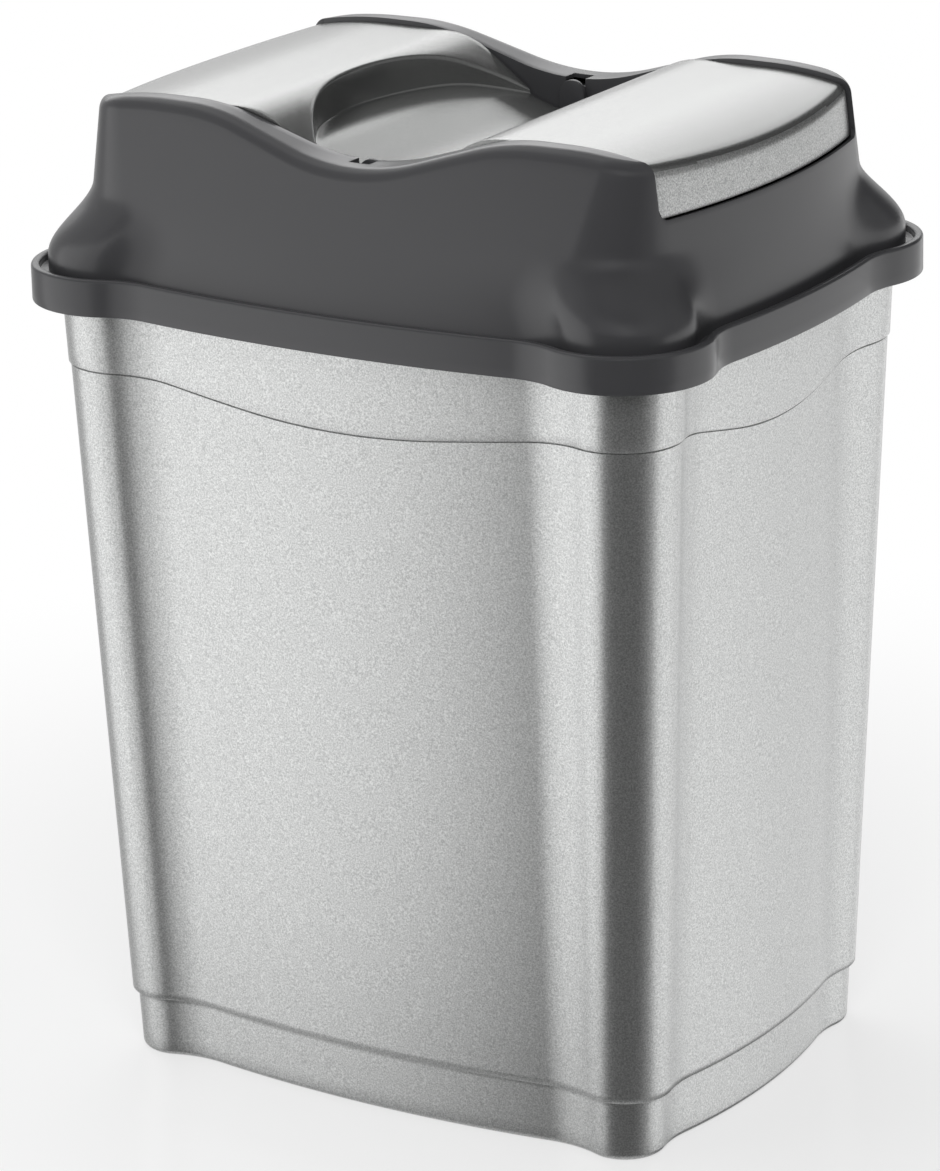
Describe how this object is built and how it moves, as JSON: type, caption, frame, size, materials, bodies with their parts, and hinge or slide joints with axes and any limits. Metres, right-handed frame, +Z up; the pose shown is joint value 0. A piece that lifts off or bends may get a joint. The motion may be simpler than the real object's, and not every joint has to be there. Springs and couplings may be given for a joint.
{
  "type": "swing bin",
  "caption": "Tapering kitchen bin with lobed corners, a lift-off hood and a wavy flap that swings on two side pins.",
  "frame": {"origin": "middle of the base, on the surface that the bin stands on", "axes": "+Z up, X along the long sides, Y across them; the flap's finger pocket is on the -X half"},
  "size_m": [0.4226, 0.3282, 0.5655],
  "materials": {
    "container": "silver metal-flake polypropylene, satin moulded surface",
    "hood": "dark grey polypropylene, soft gloss",
    "flap": "silver metal-flake polypropylene, high gloss on top and fine-grained on the end lips"
  },
  "bodies": {
    "container": {"container": "container"},
    "hood": {"hood": "hood"},
    "flap": {"swing_flap": "flap"}
  },
  "joints": [
    {"name": "hood_lift", "type": "slide", "parent": "container", "child": "hood", "axis": [0, 0, 1], "range_m": [0, 0.2]},
    {"name": "flap_swing", "type": "hinge", "parent": "hood", "child": "flap", "pos_m": [0, 0, 0.535], "axis": [0, 1, 0], "range_deg": [-75, 75]}
  ]
}
